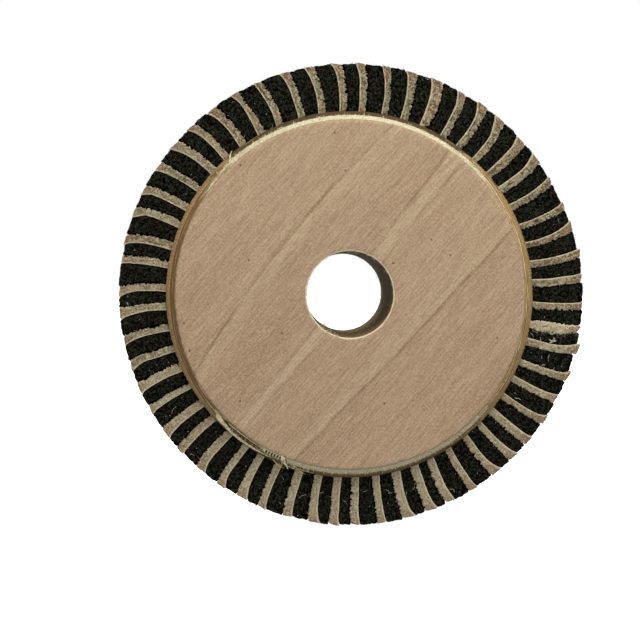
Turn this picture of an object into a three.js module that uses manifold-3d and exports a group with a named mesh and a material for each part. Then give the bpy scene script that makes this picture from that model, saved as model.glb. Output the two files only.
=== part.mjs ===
// A felt polishing wheel for lapidary work: a plywood hub with a spindle bore, and strips of felt
// and leather set on edge around it, one after the other.
//
// Millimetres. The origin is the middle of the bore, the wheel spins about Y, the front face looks
// along -Y, and Z is up. The wheel is built from the bore outwards: two core boards, the ring of
// glue around them, the strips that stand in the glue, and a plywood cheek on each side that clamps
// the strips' roots.
import * as THREE from 'three';
import { mergeVertices } from 'three/addons/utils/BufferGeometryUtils.js';
import Module from 'manifold-3d';

const manifold = await Module();
manifold.setup();

const radians = (degrees) => (degrees * Math.PI) / 180;

// The whole wheel
const WHEEL_RADIUS = 76.0;
const WHEEL_WIDTH = 40;
const BORE_RADIUS = 14;
const ROUND_SEGMENTS = 57;

// A cheek, from its face inwards: face veneer, cross ply, inner ply. The rim has a 45 degree bevel.
const CHEEK_THICKNESS = 4.5;
const CHEEK_RADIUS = 59.8;
const FACE_FLAT_RADIUS = 56.1;
const FACE_VENEER_THICKNESS = 0.5;
const CROSS_PLY_THICKNESS = 1.65;
const BEVEL_DEPTH = CHEEK_RADIUS - FACE_FLAT_RADIUS;

// The core, and the glue around it
const CORE_RADIUS = 44.4;
const GLUE_THICKNESS = 0.6;
const STRIP_WIDTH = WHEEL_WIDTH - 2 * CHEEK_THICKNESS;
const HALF_STRIP_WIDTH = STRIP_WIDTH / 2;

// The strips. Each leather strip bows a little clockwise and then curls anticlockwise towards its
// tip, most of all on one side of the wheel. Its tip also flares over the felt strip beside it.
const STRIP_COUNT = 57;
const STRIPS_PER_GROUP = 3;
const GROUP_COUNT = STRIP_COUNT / STRIPS_PER_GROUP;
const PITCH = (2 * Math.PI) / STRIP_COUNT;
const FREE_GAP = 0.3;
const STRIP_ROOT_RADIUS = CORE_RADIUS + GLUE_THICKNESS + FREE_GAP;
const LEATHER_THICKNESS = 2.4;
const LEATHER_BOW = 1.2;
const CURL_MEAN = 0.7;
const CURL_SWING = 0.95;
const CURL_SIDE = radians(100);
const CURL_POWER = 2;
const LEATHER_FLARE = 1.1;
const FLARE_POWER = 6;
const FELT_SETBACK = 0.5;
const FELT_TIP_RADIUS = WHEEL_RADIUS - FELT_SETBACK;
const FELT_CORNER_ROUNDING = 1.1;
const PITCH_SCATTER = 0.08;
const START_ANGLE = radians(-0.87);
const SPACING_DRIFT = radians(2.7);
const DRIFT_SIDE = radians(223);
const STATION_RADII = [STRIP_ROOT_RADIUS, 62, 68, 72, 74.2];

// The bead that joins the roots of one group: at the front end for felt, at the back for leather
const BEAD_WIDTH = 0.6;
const BEAD_HEIGHT = 2.2;
const BEAD_STEPS = 6;

// How far a cutting body runs past what it cuts, and how close two corners are to be taken as one
const OVERCUT = 1;
const MERGE_DISTANCE = 1e-5;

const group = new THREE.Group();

const plywoodFace = { color: 0xab9273, roughness: 0.75, metalness: 0 };
const plywoodCross = { color: 0xcfc3a0, roughness: 0.85, metalness: 0 };
const plywoodInner = { color: 0x7a684b, roughness: 0.85, metalness: 0 };
const coreWood = { color: 0x6b5a42, roughness: 0.85, metalness: 0 };
const glue = { color: 0x8a7a52, roughness: 0.5, metalness: 0 };
const felt = { color: 0x1c1b15, roughness: 1, metalness: 0 };
const leather = { color: 0x958971, roughness: 0.7, metalness: 0 };

function addPiece(name, geometry, look) {
  const mesh = new THREE.Mesh(geometry, new THREE.MeshStandardMaterial(look));
  mesh.name = name;
  group.add(mesh);
}

// A ring about Y. The profile is a list of [radius, y] corners, which goes round anticlockwise
// when radius points right and y points up.
function ring(profile) {
  const corners = [...profile, profile[0]].map(([radius, y]) => new THREE.Vector2(radius, y));
  return new THREE.LatheGeometry(corners, ROUND_SEGMENTS);
}

// An outline in the plane of the wheel, stretched along Y from yLow to yHigh.
function slab(outline, yLow, yHigh) {
  const shape = new THREE.Shape(outline);
  const geometry = new THREE.ExtrudeGeometry(shape, { depth: yHigh - yLow, bevelEnabled: false });
  geometry.translate(0, 0, -yHigh);
  return geometry.rotateX(Math.PI / 2);
}

// A point in the plane of the wheel. Angles go anticlockwise as the front face is seen.
function polar(radius, angle) {
  return new THREE.Vector2(radius * Math.cos(angle), radius * Math.sin(angle));
}

function toSolid(geometry) {
  const bare = geometry.clone();
  bare.deleteAttribute('normal');
  bare.deleteAttribute('uv');
  const merged = mergeVertices(bare, MERGE_DISTANCE);
  const vertProperties = new Float32Array(merged.attributes.position.array);
  const triVerts = new Uint32Array(merged.index.array);
  return new manifold.Manifold(new manifold.Mesh({ numProp: 3, vertProperties, triVerts }));
}

function toGeometry(solid) {
  const mesh = solid.getMesh();
  const geometry = new THREE.BufferGeometry();
  geometry.setAttribute('position', new THREE.BufferAttribute(mesh.vertProperties, 3));
  geometry.setIndex(new THREE.BufferAttribute(mesh.triVerts, 1));
  return geometry;
}

// ---- The hub ----

// The radius of the cheek's rim at a depth below its face: along the bevel, then straight.
function rimRadius(depth) {
  return FACE_FLAT_RADIUS + Math.min(depth, BEVEL_DEPTH);
}

// One ply of a cheek between two depths below the face. side is -1 at the front, 1 at the back.
function cheekPly(depthOut, depthIn, side) {
  const outer = WHEEL_WIDTH / 2 - depthOut;
  const inner = WHEEL_WIDTH / 2 - depthIn;
  const bend = WHEEL_WIDTH / 2 - BEVEL_DEPTH;
  const profile = [
    [BORE_RADIUS, inner],
    [rimRadius(depthIn), inner],
    ...(depthIn > BEVEL_DEPTH ? [[CHEEK_RADIUS, bend]] : []),
    [rimRadius(depthOut), outer],
    [BORE_RADIUS, outer],
  ];
  if (side > 0) {
    return ring(profile);
  }
  return ring(profile.map(([radius, y]) => [radius, -y]).reverse());
}

function addCheek(name, side) {
  const crossEnd = FACE_VENEER_THICKNESS + CROSS_PLY_THICKNESS;
  addPiece(`${name}_face_veneer`, cheekPly(0, FACE_VENEER_THICKNESS, side), plywoodFace);
  addPiece(`${name}_cross_ply`, cheekPly(FACE_VENEER_THICKNESS, crossEnd, side), plywoodCross);
  addPiece(`${name}_inner_ply`, cheekPly(crossEnd, CHEEK_THICKNESS, side), plywoodInner);
}

function tube(innerRadius, outerRadius, yLow, yHigh) {
  return ring([
    [innerRadius, yLow],
    [outerRadius, yLow],
    [outerRadius, yHigh],
    [innerRadius, yHigh],
  ]);
}

function addCore() {
  addPiece('core_board_front', tube(BORE_RADIUS, CORE_RADIUS, -HALF_STRIP_WIDTH, 0), coreWood);
  addPiece('core_board_back', tube(BORE_RADIUS, CORE_RADIUS, 0, HALF_STRIP_WIDTH), coreWood);
  const outside = CORE_RADIUS + GLUE_THICKNESS;
  addPiece('root_glue_ring', tube(CORE_RADIUS, outside, -HALF_STRIP_WIDTH, HALF_STRIP_WIDTH), glue);
}

// ---- The strips ----

// A steady value from -1 to 1 for each strip and purpose, so that the strips aren't all alike.
function scatter(index, salt) {
  const value = Math.sin(index * 12.9898 + salt * 78.233) * 43758.5453;
  return 2 * (value - Math.floor(value)) - 1;
}

// The angle of a leather strip's root. The strips stand a little closer together on one side of the
// wheel, and each stands a little off its even place.
function leatherAngle(index) {
  const turn = index % STRIP_COUNT;
  const wholeTurns = (index - turn) / STRIP_COUNT;
  const drift = SPACING_DRIFT * Math.cos(turn * PITCH - DRIFT_SIDE);
  const uneven = PITCH_SCATTER * scatter(turn, 1);
  return START_ANGLE + (turn + uneven) * PITCH + drift + wholeTurns * 2 * Math.PI;
}

// How far out a radius is along a strip's free part: 0 at the cheek's rim, 1 at the tip.
function outness(radius) {
  return Math.max(0, (radius - CHEEK_RADIUS) / (WHEEL_RADIUS - CHEEK_RADIUS));
}

// The angle of a leather strip's side at a radius: side is -1 clockwise, 1 anticlockwise.
function leatherSide(index, radius, side) {
  const out = outness(radius);
  const bow = -LEATHER_BOW * out * (1 - out);
  const reach = CURL_MEAN + CURL_SWING * Math.cos(index * PITCH - CURL_SIDE);
  const curl = reach * out ** CURL_POWER;
  const flare = side > 0 ? LEATHER_FLARE * out ** FLARE_POWER : 0;
  const offset = (side * LEATHER_THICKNESS) / 2 + bow + curl + flare;
  return leatherAngle(index) + offset / radius;
}

function leatherOutline(index) {
  const radii = [...STATION_RADII, WHEEL_RADIUS];
  const clockwise = radii.map((radius) => polar(radius, leatherSide(index, radius, -1)));
  const anticlockwise = radii.map((radius) => polar(radius, leatherSide(index, radius, 1)));
  return [...clockwise, ...anticlockwise.reverse()];
}

// A felt strip fills the room between its leather strip and the next one anticlockwise. Its outer
// corner next to its own leather strip is rounded off.
function feltOutline(index) {
  const near = (radius) => leatherSide(index, radius, 1) + FREE_GAP / radius;
  const far = (radius) => leatherSide(index + 1, radius, -1) - FREE_GAP / radius;
  const corner = FELT_TIP_RADIUS - FELT_CORNER_ROUNDING;
  const inside = STATION_RADII.filter((radius) => radius < corner);
  const roundedOff = near(FELT_TIP_RADIUS) + FELT_CORNER_ROUNDING / FELT_TIP_RADIUS;
  return [
    ...[...inside, corner].map((radius) => polar(radius, near(radius))),
    polar(FELT_TIP_RADIUS, roundedOff),
    ...[FELT_TIP_RADIUS, ...[...inside].reverse()].map((radius) => polar(radius, far(radius))),
  ];
}

// A bar that follows the strips' roots between two angles, from the root out to a height.
function rootBar(startAngle, endAngle, innerRadius, outerRadius, yLow, yHigh) {
  const inner = [];
  const outer = [];
  for (let step = 0; step <= BEAD_STEPS; step += 1) {
    const angle = startAngle + ((endAngle - startAngle) * step) / BEAD_STEPS;
    inner.push(polar(innerRadius, angle));
    outer.push(polar(outerRadius, angle));
  }
  return toSolid(slab([...outer, ...inner.reverse()], yLow, yHigh));
}

// The strips of one group, joined by the bead at their own end of the roots and cut back at the
// other end, where the other material's bead runs. end is -1 at the front, 1 at the back.
function stripGroup(outline, first, end) {
  const last = first + STRIPS_PER_GROUP - 1;
  const middle = (leatherAngle(first) + leatherAngle(last)) / 2;
  const reach = STRIPS_PER_GROUP * PITCH;
  const beadInside = HALF_STRIP_WIDTH - BEAD_WIDTH;
  const cutInside = beadInside - FREE_GAP;
  const beadTop = STRIP_ROOT_RADIUS + BEAD_HEIGHT;
  const alongEnd = (from, to, sign) => (sign < 0 ? [-to, -from] : [from, to]);

  const cut = rootBar(
    middle - reach,
    middle + reach,
    STRIP_ROOT_RADIUS - OVERCUT,
    beadTop + FREE_GAP,
    ...alongEnd(cutInside, HALF_STRIP_WIDTH + OVERCUT, -end),
  );
  const centre = (index) => {
    const root = outline(index);
    const ends = [root[0], root[root.length - 1]].map((point) => point.angle());
    const spread = ((ends[1] - ends[0] + 3 * Math.PI) % (2 * Math.PI)) - Math.PI;
    return ends[0] + spread / 2;
  };
  const from = centre(first);
  const span = (centre(last) - from + 2 * Math.PI) % (2 * Math.PI);
  let joined = rootBar(
    from,
    from + span,
    STRIP_ROOT_RADIUS,
    beadTop,
    ...alongEnd(beadInside, HALF_STRIP_WIDTH, end),
  );
  for (let index = first; index <= last; index += 1) {
    const strip = toSolid(slab(outline(index), -HALF_STRIP_WIDTH, HALF_STRIP_WIDTH));
    joined = joined.add(strip.subtract(cut));
  }
  return toGeometry(joined);
}

function addStrips() {
  for (let number = 0; number < GROUP_COUNT; number += 1) {
    const first = number * STRIPS_PER_GROUP;
    const label = String(number + 1).padStart(2, '0');
    addPiece(`leather_strips_${label}`, stripGroup(leatherOutline, first, 1), leather);
    addPiece(`felt_strips_${label}`, stripGroup(feltOutline, first, -1), felt);
  }
}

addCheek('front_cheek', -1);
addCheek('back_cheek', 1);
addCore();
addStrips();

export default group;
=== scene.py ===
"""The looks of a lapidary polishing wheel: a plywood hub ringed by felt and leather strips.

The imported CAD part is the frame. Finer meshes of the hub's plies and all the strips stand here
where the CAD solids stand. The wheel spins about Y, its front face looks along -Y, and angles go
anticlockwise from +X as the front is seen. Meshes are worked out in mm and scaled when made.
"""

import math
from functools import partialmethod

import bpy
import numpy as np
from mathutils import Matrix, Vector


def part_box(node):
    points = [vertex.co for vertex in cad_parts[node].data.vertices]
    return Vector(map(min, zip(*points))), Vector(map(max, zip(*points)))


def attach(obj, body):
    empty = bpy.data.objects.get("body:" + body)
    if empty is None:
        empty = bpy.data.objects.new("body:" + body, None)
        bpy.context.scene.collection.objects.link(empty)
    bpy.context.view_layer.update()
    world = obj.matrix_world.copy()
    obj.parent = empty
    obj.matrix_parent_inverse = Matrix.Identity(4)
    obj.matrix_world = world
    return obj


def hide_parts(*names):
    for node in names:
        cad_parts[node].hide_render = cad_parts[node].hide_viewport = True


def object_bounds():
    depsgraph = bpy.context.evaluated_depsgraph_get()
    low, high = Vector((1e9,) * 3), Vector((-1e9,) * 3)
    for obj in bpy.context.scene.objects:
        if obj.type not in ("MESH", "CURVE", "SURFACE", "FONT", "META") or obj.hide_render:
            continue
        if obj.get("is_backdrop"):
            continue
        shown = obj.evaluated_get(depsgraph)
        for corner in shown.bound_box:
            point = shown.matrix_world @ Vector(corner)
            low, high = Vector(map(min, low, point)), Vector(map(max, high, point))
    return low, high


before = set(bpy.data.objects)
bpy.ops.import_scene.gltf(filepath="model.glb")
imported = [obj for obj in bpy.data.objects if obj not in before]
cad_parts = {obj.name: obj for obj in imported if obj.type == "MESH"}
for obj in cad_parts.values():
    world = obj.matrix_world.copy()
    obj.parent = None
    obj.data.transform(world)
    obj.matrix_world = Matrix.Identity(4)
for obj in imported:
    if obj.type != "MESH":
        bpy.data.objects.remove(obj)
cad_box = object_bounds()

MM = 0.001
BODY = "root"
WHITE = (1.0, 1.0, 1.0, 1.0)

# ---- Sizes, in millimetres, from the frame and a few driving dimensions ----


def top_mm(node):
    """How far a round CAD node reaches from the spin axis."""
    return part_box(node)[1].z / MM


def depth_mm(node):
    """A CAD node's lowest and highest place along the spin axis."""
    low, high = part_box(node)
    return low.y / MM, high.y / MM


BORE_RADIUS = 14.0
BEVEL_DEPTH = 3.7
HALF_WIDTH = cad_box[1].y / MM
WHEEL_RADIUS = 76.0
CHEEK_RADIUS = top_mm("front_cheek_inner_ply")
FACE_DEPTHS, CROSS_DEPTHS, INNER_DEPTHS = (
    tuple(HALF_WIDTH + y for y in depth_mm(f"front_cheek_{ply}"))
    for ply in ("face_veneer", "cross_ply", "inner_ply")
)
FACE_FLAT_RADIUS = CHEEK_RADIUS - BEVEL_DEPTH
CORE_RADIUS = top_mm("core_board_front")
CORE_PLY = 1.55
PLIES_BELOW_MIDDLE = 40
HALF_STRIP = depth_mm("core_board_back")[1]
STRIP_ROOT = top_mm("root_glue_ring")

STRIP_COUNT = 57
STRIPS_PER_NODE = 3
PITCH = 2 * math.pi / STRIP_COUNT
RAGGED_STRIP = 56
TOOTHED_STRIP = 54
LINTY_STRIPS = (3, 33, 35, 41, 54, 55)

# ---- Steady noise ----


def lattice(ix, iy, iz, seed):
    """A steady value from 0 to 1 for each whole-number point."""
    mask = 0xFFFFFFFF
    mixed = (ix * 374761393 + iy * 668265263 + iz * 1103515245 + seed * 974634777) & mask
    mixed = ((mixed ^ (mixed >> 13)) * 1274126177) & mask
    return ((mixed ^ (mixed >> 16)) & 0xFFFF) / 65535.0


def noise(points, cell, seed):
    """Smooth noise from -1 to 1 that changes over about one cell. cell is one size or three."""
    scaled = points / cell
    base = np.floor(scaled).astype(np.int64)
    part = scaled - base
    part = part * part * (3 - 2 * part)
    total = np.zeros(len(points))
    for corner in range(8):
        step = np.array([corner & 1, corner >> 1 & 1, corner >> 2 & 1])
        weight = np.prod(np.where(step, part, 1 - part), axis=1)
        total += weight * lattice(*(base + step).T, seed)
    return 2 * total - 1


def rough(points, cell, octaves, seed):
    """Noise with finer and finer detail."""
    sizes = np.asarray(cell, float)
    return sum(noise(points, sizes / 2**k, seed + k) * 0.5**k for k in range(octaves))


def scatter(index, salt):
    """A steady value from -1 to 1 for each strip, the same as in the CAD design."""
    value = math.sin(index * 12.9898 + salt * 78.233) * 43758.5453
    return 2 * (value - math.floor(value)) - 1


# ---- Mesh tools ----


def add_object(name, data):
    made = bpy.data.objects.new(name, data)
    bpy.context.scene.collection.objects.link(made)
    return made


def make_piece(name, points, faces, material, slot, marks=None, smooth=True):
    """A mesh object from points in mm and faces that all have the same number of corners.

    marks are named values per point, which the materials read."""
    corners = faces.shape[1]
    mesh = bpy.data.meshes.new(name)
    mesh.vertices.add(len(points))
    mesh.vertices.foreach_set("co", (points * MM).astype(np.float32).reshape(-1))
    mesh.loops.add(faces.size)
    mesh.loops.foreach_set("vertex_index", faces.astype(np.int32).reshape(-1))
    mesh.polygons.add(len(faces))
    mesh.polygons.foreach_set("loop_start", np.arange(0, faces.size, corners, dtype=np.int32))
    mesh.polygons.foreach_set("use_smooth", np.full(len(faces), smooth))
    for key, values in (marks or {}).items():
        layer = mesh.attributes.new(key, "FLOAT", "POINT")
        layer.data.foreach_set("value", values.astype(np.float32))
    mesh.update(calc_edges=True)
    mesh.materials.append(material)
    piece = add_object(name, mesh)
    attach(piece, BODY)
    return piece


def joined(meshes):
    """Several meshes, each as points and faces, as one."""
    all_points, all_faces, count = [], [], 0
    for points, faces in meshes:
        all_points.append(points)
        all_faces.append(faces + count)
        count += len(points)
    return np.concatenate(all_points), np.concatenate(all_faces)


def unit(vectors):
    """The vectors at length 1."""
    return vectors / np.maximum(np.linalg.norm(vectors, axis=-1, keepdims=True), 1e-9)


def around_axis(radius, y, angle):
    """Points at a radius, a place along the spin axis and an angle around it."""
    parts = np.broadcast_arrays(radius * np.cos(angle), y, radius * np.sin(angle))
    return np.stack(parts, axis=-1)


def quads(sheet, flip=False):
    """The quads between the rows and columns of a sheet of point numbers."""
    ring = [sheet[:-1, :-1], sheet[1:, :-1], sheet[1:, 1:], sheet[:-1, 1:]]
    if flip:
        ring.reverse()
    return np.stack(ring, axis=-1).reshape(-1, 4)


def box_skin(along, across, wide):
    """The points and quads on the skin of a box grid with those stations on its three axes."""
    shape = (len(along), len(across), len(wide))
    at = np.indices(shape)
    on_skin = np.any([(at[k] == 0) | (at[k] == shape[k] - 1) for k in range(3)], axis=0)
    number = np.full(shape, -1)
    number[on_skin] = np.arange(on_skin.sum())
    points = np.stack([along[at[0][on_skin]], across[at[1][on_skin]], wide[at[2][on_skin]]], axis=1)
    faces = [
        quads(number[0]),
        quads(number[-1], flip=True),
        quads(number[:, 0], flip=True),
        quads(number[:, -1]),
        quads(number[:, :, 0]),
        quads(number[:, :, -1], flip=True),
    ]
    return points, np.concatenate(faces)


def rounded(points, low, high, radius):
    """Pulls the edges of a box between two corners in to a radius."""
    core = np.clip(points, low + radius, high - radius)
    away = points - core
    length = np.linalg.norm(away, axis=1, keepdims=True)
    return core + away * (radius / np.maximum(length, 1e-6))


def eased(count):
    """Stations from -1 to 1, closer together towards both ends."""
    return np.sin(np.linspace(-math.pi / 2, math.pi / 2, count))


def revolve(profile, steps):
    """A closed profile of (radius, y) points turned round Y: points, quads and each point's angle."""
    turn = np.arange(steps) * 2 * math.pi / steps
    angle, spot = np.meshgrid(turn, np.arange(len(profile)), indexing="ij")
    radius, y = profile[spot.reshape(-1)].T
    angle = angle.reshape(-1)
    points = around_axis(radius, y, angle)
    number = np.arange(len(points)).reshape(steps, len(profile))
    number = np.concatenate([number, number[:1]], axis=0)
    number = np.concatenate([number, number[:, :1]], axis=1)
    return points, quads(number), angle


def tubes(paths, width):
    """Closed thin three-sided fibres that taper to a point, along paths of (fibre, step, xyz)."""
    count, steps, _ = paths.shape
    along = np.gradient(paths, axis=1)
    side = unit(np.cross(along, [0.31, 0.52, 0.79]))
    other = unit(np.cross(along, side))
    taper = 1 - 0.7 * np.arange(steps) / (steps - 1)
    reach = width[:, None, None] * taper[None, :, None]
    turns = [corner * 2 * math.pi / 3 for corner in range(3)]
    rings = [paths + reach * (side * math.cos(t) + other * math.sin(t)) for t in turns]
    rings = np.stack(rings, axis=2)[:, :-1].reshape(count, -1, 3)
    points = np.concatenate([rings, paths[:, -1:]], axis=1)
    faces = [[0, 2, 1]]
    for ring in range(steps - 2):
        for corner in range(3):
            here, there = ring * 3 + corner, ring * 3 + (corner + 1) % 3
            faces += [[here, there, there + 3], [here, there + 3, here + 3]]
    last = (steps - 2) * 3
    faces += [[last + k, last + (k + 1) % 3, last + 3] for k in range(3)]
    shifts = (np.arange(count) * points.shape[1])[:, None, None]
    return points.reshape(-1, 3), (np.array(faces)[None] + shifts).reshape(-1, 3)


def needles(start, direction, length, width, bend):
    """Short fibres: from start along direction, with the tip pushed over by bend."""
    places = np.array([0, 0.4, 0.75, 1.0])[None, :, None]
    paths = start[:, None] + (direction * length[:, None])[:, None] * places
    return tubes(paths + bend[:, None] * places**2, width)


def curls(start, first, second, length, width, swing, random):
    """Long wavy fibres that wander over the surface spanned by two directions."""
    steps = 12
    heading = random.uniform(0, 2 * math.pi, len(start))[:, None]
    drift = random.uniform(-1, 1, (len(start), steps)).cumsum(axis=1) * swing
    heading = (heading + drift)[:, :, None]
    moves = first[:, None] * np.cos(heading) + second[:, None] * np.sin(heading)
    moves *= (length / steps)[:, None, None]
    return tubes(start[:, None] + moves.cumsum(axis=1), width)


# ---- Node material tools ----


def node(tree, kind, inputs=None, **settings):
    """Adds a shader node. inputs maps a socket's name or number to a Value, an output or a constant."""
    made = tree.nodes.new("ShaderNode" + kind)
    for key, value in settings.items():
        setattr(made, key, value)
    for key, value in (inputs or {}).items():
        value = getattr(value, "socket", value)
        if isinstance(value, bpy.types.NodeSocket):
            tree.links.new(value, made.inputs[key])
        else:
            made.inputs[key].default_value = value
    return made


def linear(colour):
    """A colour on the 0 to 255 screen scale as the shader's linear red, green, blue, alpha."""
    parts = [c / 255 for c in colour]
    return [c / 12.92 if c <= 0.04045 else ((c + 0.055) / 1.055) ** 2.4 for c in parts] + [1.0]


class Value:
    """A number that varies over a surface. Arithmetic on it adds the shader nodes for it."""

    def __init__(self, tree, socket):
        self.tree, self.socket = tree, socket

    def calc(self, operation, *others):
        made = node(self.tree, "Math", dict(enumerate((self, *others))), operation=operation)
        return Value(self.tree, made.outputs[0])

    __add__ = partialmethod(calc, "ADD")
    __sub__ = partialmethod(calc, "SUBTRACT")
    __mul__ = partialmethod(calc, "MULTIPLY")
    __truediv__ = partialmethod(calc, "DIVIDE")
    __abs__ = partialmethod(calc, "ABSOLUTE")

    def ramp(self, low, high, start=0.0, end=1.0):
        """This value taken smoothly from low..high to start..end."""
        inputs = {"Value": self, "From Min": low, "From Max": high, "To Min": start, "To Max": end}
        made = node(self.tree, "MapRange", inputs, interpolation_type="SMOOTHSTEP")
        return Value(self.tree, made.outputs[0])


class Surface:
    """A material in the making. Places on it are in mm, colours on the 0 to 255 screen scale."""

    def __init__(self, name):
        self.material = bpy.data.materials.new(name)
        self.material.use_nodes = True
        self.tree = self.material.node_tree
        self.tree.nodes.clear()
        metres = node(self.tree, "TexCoord").outputs["Object"]
        self.place = self.vector("MULTIPLY", metres, (1 / MM,) * 3)
        self.x, self.y, self.z = (
            Value(self.tree, s) for s in node(self.tree, "SeparateXYZ", {0: self.place}).outputs
        )
        self.colour = None

    def vector(self, operation, first, second, output=0):
        return node(self.tree, "VectorMath", {0: first, 1: second}, operation=operation).outputs[output]

    def radius(self):
        """The distance from the spin axis."""
        return (self.x * self.x + self.z * self.z).calc("SQRT")

    def along(self, axis):
        """How far each place lies along an axis."""
        return Value(self.tree, self.vector("DOT_PRODUCT", self.place, axis, "Value"))

    def noise(self, place, detail=3.0):
        """Noise from 0 to 1 with cells of size 1."""
        inputs = {"Vector": place, "Scale": 1.0, "Detail": detail, "Roughness": 0.55}
        return Value(self.tree, node(self.tree, "TexNoise", inputs).outputs[0])

    def grain(self, size, detail=3.0, shift=0.0, axes=None):
        """Noise from 0 to 1. size is its cell's, one for all or one along each of the axes."""
        place = self.place
        if axes is not None:
            parts = {k: self.along(axis) for k, axis in enumerate(axes)}
            place = node(self.tree, "CombineXYZ", parts).outputs[0]
        sizes = size if isinstance(size, tuple) else (size,) * 3
        scaled = self.vector("MULTIPLY", place, [1 / s for s in sizes])
        return self.noise(self.vector("ADD", scaled, (shift,) * 3), detail)

    def mark(self, name):
        """The value of that name which make_piece stored on each point."""
        made = node(self.tree, "Attribute", attribute_name=name, attribute_type="GEOMETRY")
        return Value(self.tree, made.outputs["Fac"])

    def own(self, name):
        """The value of that name which the whole object holds."""
        made = node(self.tree, "Attribute", attribute_name=name, attribute_type="OBJECT")
        return Value(self.tree, made.outputs["Fac"])

    def blend(self, amount, first, second):
        """Two colours mixed by amount."""
        made = node(self.tree, "Mix", {"Factor": amount}, data_type="RGBA", blend_type="MIX")
        for key, colour in ((6, first), (7, second)):
            if isinstance(colour, bpy.types.NodeSocket):
                self.tree.links.new(colour, made.inputs[key])
            else:
                made.inputs[key].default_value = linear(colour)
        return made.outputs[2]

    def coat(self, amount, colour):
        """Lays a colour over what is there, as thick as amount says."""
        self.colour = self.blend(amount, self.colour, colour)

    def finish(self, roughness, height, depth, shine=0.5, glow=0.0):
        """Joins the colour, roughness and a bump of that depth to a Principled shader."""
        bump = node(self.tree, "Bump", {"Height": height, "Strength": 1.0, "Distance": depth * MM})
        inputs = {"Base Color": self.colour, "Roughness": roughness, "Normal": bump.outputs[0]}
        inputs |= {"Specular IOR Level": shine, "Emission Color": WHITE, "Emission Strength": glow}
        shader = node(self.tree, "BsdfPrincipled", inputs)
        node(self.tree, "OutputMaterial", {"Surface": shader.outputs[0]})
        return self.material


# ---- Materials ----

GRAIN_ANGLE = math.radians(49)
ALONG_GRAIN = (math.cos(GRAIN_ANGLE), 0.0, math.sin(GRAIN_ANGLE))
ACROSS_GRAIN = (-math.sin(GRAIN_ANGLE), 0.0, math.cos(GRAIN_ANGLE))
DEPTH_AXIS = (0.0, 1.0, 0.0)
FACE_AXES = (ALONG_GRAIN, ACROSS_GRAIN, DEPTH_AXIS)
GROWTH_REACH = 50.0
GROWTH_WANDER = 2.2
# Each growth line's place across the grain in mm, at its lower end, in the middle and at its upper end,
# then the side on which the wood is pale, and its strength.
GROWTH_LINES = (
    ((21.5, 26.6, 25.2), -1, 1.0),
    ((0.3, 2.5, 5.7), -1, 1.0),
    ((-2.9, -1.9, 0.6), 1, 0.7),
    ((-21.3, -23.9, -25.9), 1, 1.0),
)


def lay_growth_lines(skin):
    """Dark lines along the grain, each slightly bowed and with a pale band beside it."""
    along = skin.along(ALONG_GRAIN) / GROWTH_REACH
    uneven = skin.grain((40, 20, 40), 2.0, 7.7, FACE_AXES) - 0.5
    across = skin.along(ACROSS_GRAIN) + uneven * GROWTH_WANDER
    faded = skin.grain(16, 1.0, 8.8)
    for (lower, middle, upper), pale_side, strength in GROWTH_LINES:
        lean = (upper - lower) / 2
        bow = (upper + lower) / 2 - middle
        line = (along * bow + lean) * along + middle
        away = (across - line) * pale_side
        pale = away.ramp(1.6, 5.4, 0.62 * strength, 0.0) * away.ramp(0.1, 0.8)
        skin.coat(pale, (186, 163, 132))
        dark = abs(away).ramp(0.1, 0.8, strength, 0.0) * faded.ramp(0.3, 0.6, 0.35, 0.85)
        skin.coat(dark, (130, 102, 73))


def pin_spots(skin):
    """Small dark round spots, a few centimetres apart."""
    flat = node(skin.tree, "CombineXYZ", {0: skin.x, 1: skin.z}).outputs[0]
    spots = node(skin.tree, "TexVoronoi", {"Vector": flat, "Scale": 0.062}, voronoi_dimensions="2D")
    chance = Value(skin.tree, node(skin.tree, "SeparateColor", {0: spots.outputs["Color"]}).outputs[0])
    dot = Value(skin.tree, spots.outputs["Distance"]).ramp(0.012, 0.028, 0.8, 0.0)
    return dot * chance.calc("GREATER_THAN", 0.62)


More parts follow.
